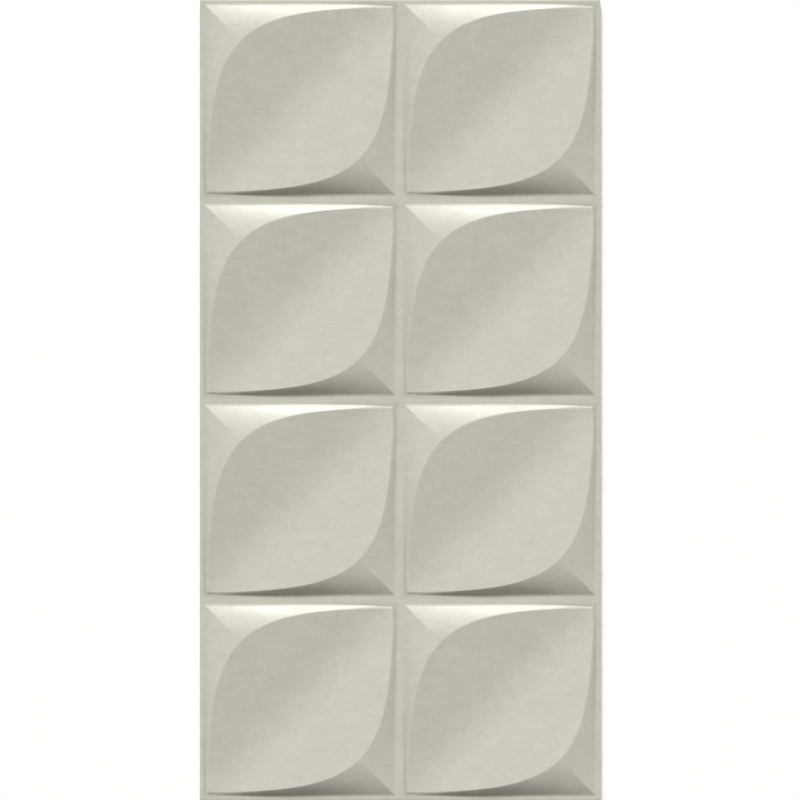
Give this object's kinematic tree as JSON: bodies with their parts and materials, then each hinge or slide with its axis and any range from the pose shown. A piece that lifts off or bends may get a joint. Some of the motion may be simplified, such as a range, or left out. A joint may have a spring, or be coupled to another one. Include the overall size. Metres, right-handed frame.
{
  "type": "relief wall tile",
  "caption": "Cast relief wall tile with a flat back and square cells on its front, each a leaf folded along its diagonal, with flat grooves between them.",
  "frame": {"origin": "centre of the flat back face", "axes": "+X along the width, +Y along the length, +Z out of the relief face, which is up as the tile lies on its back"},
  "size_m": [0.3, 0.6, 0.0143],
  "materials": {
    "cast_concrete": "smooth satin, pale warm grey, coloured right through"
  },
  "bodies": {
    "root": {"relief_tile": "cast_concrete"}
  },
  "joints": []
}
